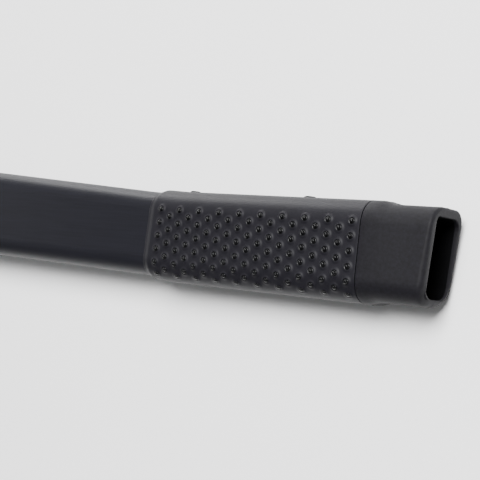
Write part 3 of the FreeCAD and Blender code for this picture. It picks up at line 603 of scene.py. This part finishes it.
def ferrule_section(grow, corners, widen=0.0, ridge=0.0, shift=Vector((0, 0))):
    """Points (y, z) round the ferrule: the grip's section grown, with a parting ridge down its sides."""
    depth = HALF_DEPTH + grow
    width = HALF_WIDTH + grow + widen
    quarters = []
    for corner in corners:
        points = [(mix(0, depth - corner, part / FACE_STEPS), width) for part in range(FACE_STEPS)]
        for angle in spread(0, math.pi / 2, CORNER_STEPS):
            y = depth - corner + corner * math.sin(angle)
            points.append((y, width - corner + corner * math.cos(angle)))
        points += [(depth, (width - corner) * share) for share in SIDE_SHARES]
        points += [(depth, RIDGE_HALF_WIDTH), (depth + ridge, 0.0)]
        quarters.append(points)
    near_high, far_high, far_low, near_low = quarters
    ring = near_high
    ring = ring + [(y, -z) for y, z in reversed(far_high[:-1])]
    ring = ring + [(-y, -z) for y, z in far_low[1:]]
    ring = ring + [(-y, z) for y, z in reversed(near_low[1:-1])]
    return [Vector(point) + shift for point in ring]


def grown_section(grow, **details):
    """The ferrule's section with the same radius at each corner, grown with it."""
    return ferrule_section(grow, (CORNER + grow,) * 4, **details)


def at(x, section, slant=0.0):
    """A section's points at a place along the grip, in a plane that leans by a slope."""
    return [Vector((x + slant * y, y, z)) for y, z in section]


def face_widening(x):
    """The broad faces widen towards the sleeve along their whole length, not in the short ramp."""
    return SLEEVE_WALL * smooth_step(x / RAMP_TOP)


def lip_rings():
    """The rounded lip, from its foremost line to the outside."""
    rings = []
    for angle in spread(0, math.pi / 2, 9):
        ring = []
        for y, z in ferrule_section(0, OPEN_END_CORNERS, ridge=PARTING_RIDGE):
            lip = LIP_RADIUS + LIP_SPREAD * y
            inset = lip * (1 - math.sin(angle))
            x = lip * (1 - math.cos(angle)) + END_SLANT * y
            ring.append(Vector((x, y * (1 - inset / HALF_DEPTH), z * (1 - inset / HALF_WIDTH))))
        rings.append(ring)
    return rings


def outside_rings():
    """The tail, the ramp and the shoulder, up to the joint with the sleeve."""
    rings = []
    for x in TAIL_PLACES:
        share = smooth_step(x / RAMP_FOOT)
        corners = [mix(radius, CORNER, share) for radius in OPEN_END_CORNERS]
        tail = ferrule_section(0, corners, face_widening(x), PARTING_RIDGE)
        rings.append(at(x, tail, mix(END_SLANT, RAMP_SKEW, share)))
    for x in spread(RAMP_FOOT, RAMP_TOP, RAMP_STEPS):
        grow = SLEEVE_WALL * smooth_step((x - RAMP_FOOT) / (RAMP_TOP - RAMP_FOOT))
        ramp = grown_section(grow, widen=face_widening(x) - grow, ridge=PARTING_RIDGE)
        rings.append(at(x, ramp, RAMP_SKEW))
    for angle in reversed(EDGE_ANGLES):
        grow = SLEEVE_WALL - EDGE_ROUNDING * (1 - math.sin(angle))
        rings.append(at(SHOULDER - EDGE_ROUNDING * (1 - math.cos(angle)), grown_section(grow)))
    return rings


def plug_rings():
    """The plug's outside, its end, and its bore down to the bottom of the mouth."""
    outer = grown_section(-TUBE_WALL)
    bore = grown_section(-TUBE_WALL - PLUG_WALL)
    return [at(SHOULDER, outer), at(PLUG_END, outer), at(PLUG_END, bore), at(MOUTH_DEPTH, bore)]


def mouth_rings():
    """The mouth's walls, from its bottom to just inside its rim."""
    section = ferrule_section(-MOUTH_WALL, MOUTH_CORNERS, shift=MOUTH_SHIFT)
    places = spread(MOUTH_DEPTH, MOUTH_TOP, MOUTH_STEPS)
    return [at(x, section, END_SLANT * (1 - x / MOUTH_DEPTH)) for x in places]


def rim_rings():
    """The small rounding of the mouth's rim."""
    rings = []
    for angle in spread(0, math.pi / 2, 3):
        out = MOUTH_RADIUS * (1 - math.cos(angle))
        corners = [radius + out for radius in MOUTH_CORNERS]
        section = ferrule_section(out - MOUTH_WALL, corners, shift=MOUTH_SHIFT)
        rings.append(at(MOUTH_RADIUS * (1 - math.sin(angle)), section, END_SLANT))
    return rings


def make_ferrule():
    """The ferrule as one closed skin: lip, outside, plug, bore, mouth and rim, back to the lip."""
    mesh = bmesh.new()
    before_mouth = lip_rings() + outside_rings() + plug_rings()
    mouth = mouth_rings()
    rings = [[mesh.verts.new(point * MM) for point in ring] for ring in before_mouth + mouth + rim_rings()]
    bore_start = len(before_mouth) - 2
    mouth_end = len(before_mouth) + len(mouth) - 1
    for number, (ring, following) in enumerate(zip(rings, rings[1:] + rings[:1])):
        join_rings(mesh, ring, following, INSIDE if bore_start <= number < mouth_end else OUTSIDE)
    ferrule = finish_piece(mesh, "end_ferrule_moulded", NYLON, "ferrule", "end_ferrule")
    # The second finish, on the bore and the mouth's walls, is the nylon painted darker as shade
    ferrule.data.materials.append(NYLON_PAINTED_SHADE)


make_ferrule()


# ---------------------------------------------------------------- stage, light and camera

FLOOR_REACH = 3.0
FLOOR_SQUARES = 12
LOWEST_CORNERS = 200
GRIP_MIDDLE = (0.07, 0.0, 0.0)
STUDIO_GLOW = 0.26


def resting_plane():
    """Where the axe lies on its side: on the adze's corner, the pick's tip and the ferrule's edge."""
    adze, pick, ferrule = ([vertex.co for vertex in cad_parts[name].data.vertices]
                           for name in ("adze", "pick", "end_ferrule"))
    corner = min(adze, key=lambda place: (round(place.z, 4), place.y))
    tip = max(pick, key=lambda place: (round(place.y, 4), -place.z))

    def normal_through(third):
        normal = (tip - corner).cross(third - corner).normalized()
        return normal if normal.z > 0 else -normal

    def clearance(third):
        normal = normal_through(third)
        return min((other - corner).dot(normal) for other in ferrule)

    edge = max(sorted(ferrule, key=lambda place: place.z)[:LOWEST_CORNERS], key=clearance)
    return corner.copy(), normal_through(edge)


floor_place, floor_normal = resting_plane()
floor_mesh = bmesh.new()
bmesh.ops.create_grid(floor_mesh, x_segments=FLOOR_SQUARES, y_segments=FLOOR_SQUARES, size=FLOOR_REACH)
floor_data = bpy.data.meshes.new("paper_floor")
floor_mesh.to_mesh(floor_data)
floor_mesh.free()
floor_data.materials.append(paper_finish())
floor = bpy.data.objects.new("paper_floor", floor_data)
floor.location = floor_place
floor.rotation_mode = "QUATERNION"
floor.rotation_quaternion = floor_normal.to_track_quat("Z", "Y")
bpy.context.scene.collection.objects.link(floor)


def add_softbox(name, direction, distance, size, power):
    """A square soft light that shines at the grip from a direction."""
    data = bpy.data.lights.new(name, "AREA")
    data.size = size
    data.energy = power
    lamp = bpy.data.objects.new(name, data)
    way = Vector(direction).normalized()
    lamp.location = Vector(GRIP_MIDDLE) + way * distance
    lamp.rotation_mode = "QUATERNION"
    lamp.rotation_quaternion = way.to_track_quat("Z", "Y")
    bpy.context.scene.collection.objects.link(lamp)


add_softbox("key_softbox", (-0.24, -0.4, 0.88), 1.5, 0.8, 76)
add_softbox("side_softbox", (0.6, -0.8, 0.0), 1.0, 0.4, 11)
add_softbox("end_softbox", (0.96, -0.1, 0.22), 1.3, 0.4, 2.2)

world = bpy.data.worlds.new("studio")
bpy.context.scene.world = world
world.use_nodes = True
background = world.node_tree.nodes["Background"]
background.inputs["Color"].default_value = linear("#ffffff")
background.inputs["Strength"].default_value = STUDIO_GLOW

# The camera looks past the open end and up the grip, from the axe's +Z side

CAMERA_LENS = 82.8
CAMERA_SENSOR = 36.0
CAMERA_PLACE = Vector((-173.078, 14.292, 319.235)) * MM
CAMERA_RIGHT = Vector((-0.7762, -0.1075, -0.6212))
CAMERA_UP = Vector((0.0607, -0.9935, 0.0961))

camera_data = bpy.data.cameras.new("camera")
camera_data.lens = CAMERA_LENS
camera_data.sensor_width = CAMERA_SENSOR
camera = bpy.data.objects.new("camera", camera_data)
bpy.context.scene.collection.objects.link(camera)
facing = Matrix((CAMERA_RIGHT, CAMERA_UP, CAMERA_RIGHT.cross(CAMERA_UP))).transposed()
camera.matrix_world = Matrix.Translation(CAMERA_PLACE) @ facing.to_4x4()
bpy.context.scene.camera = camera
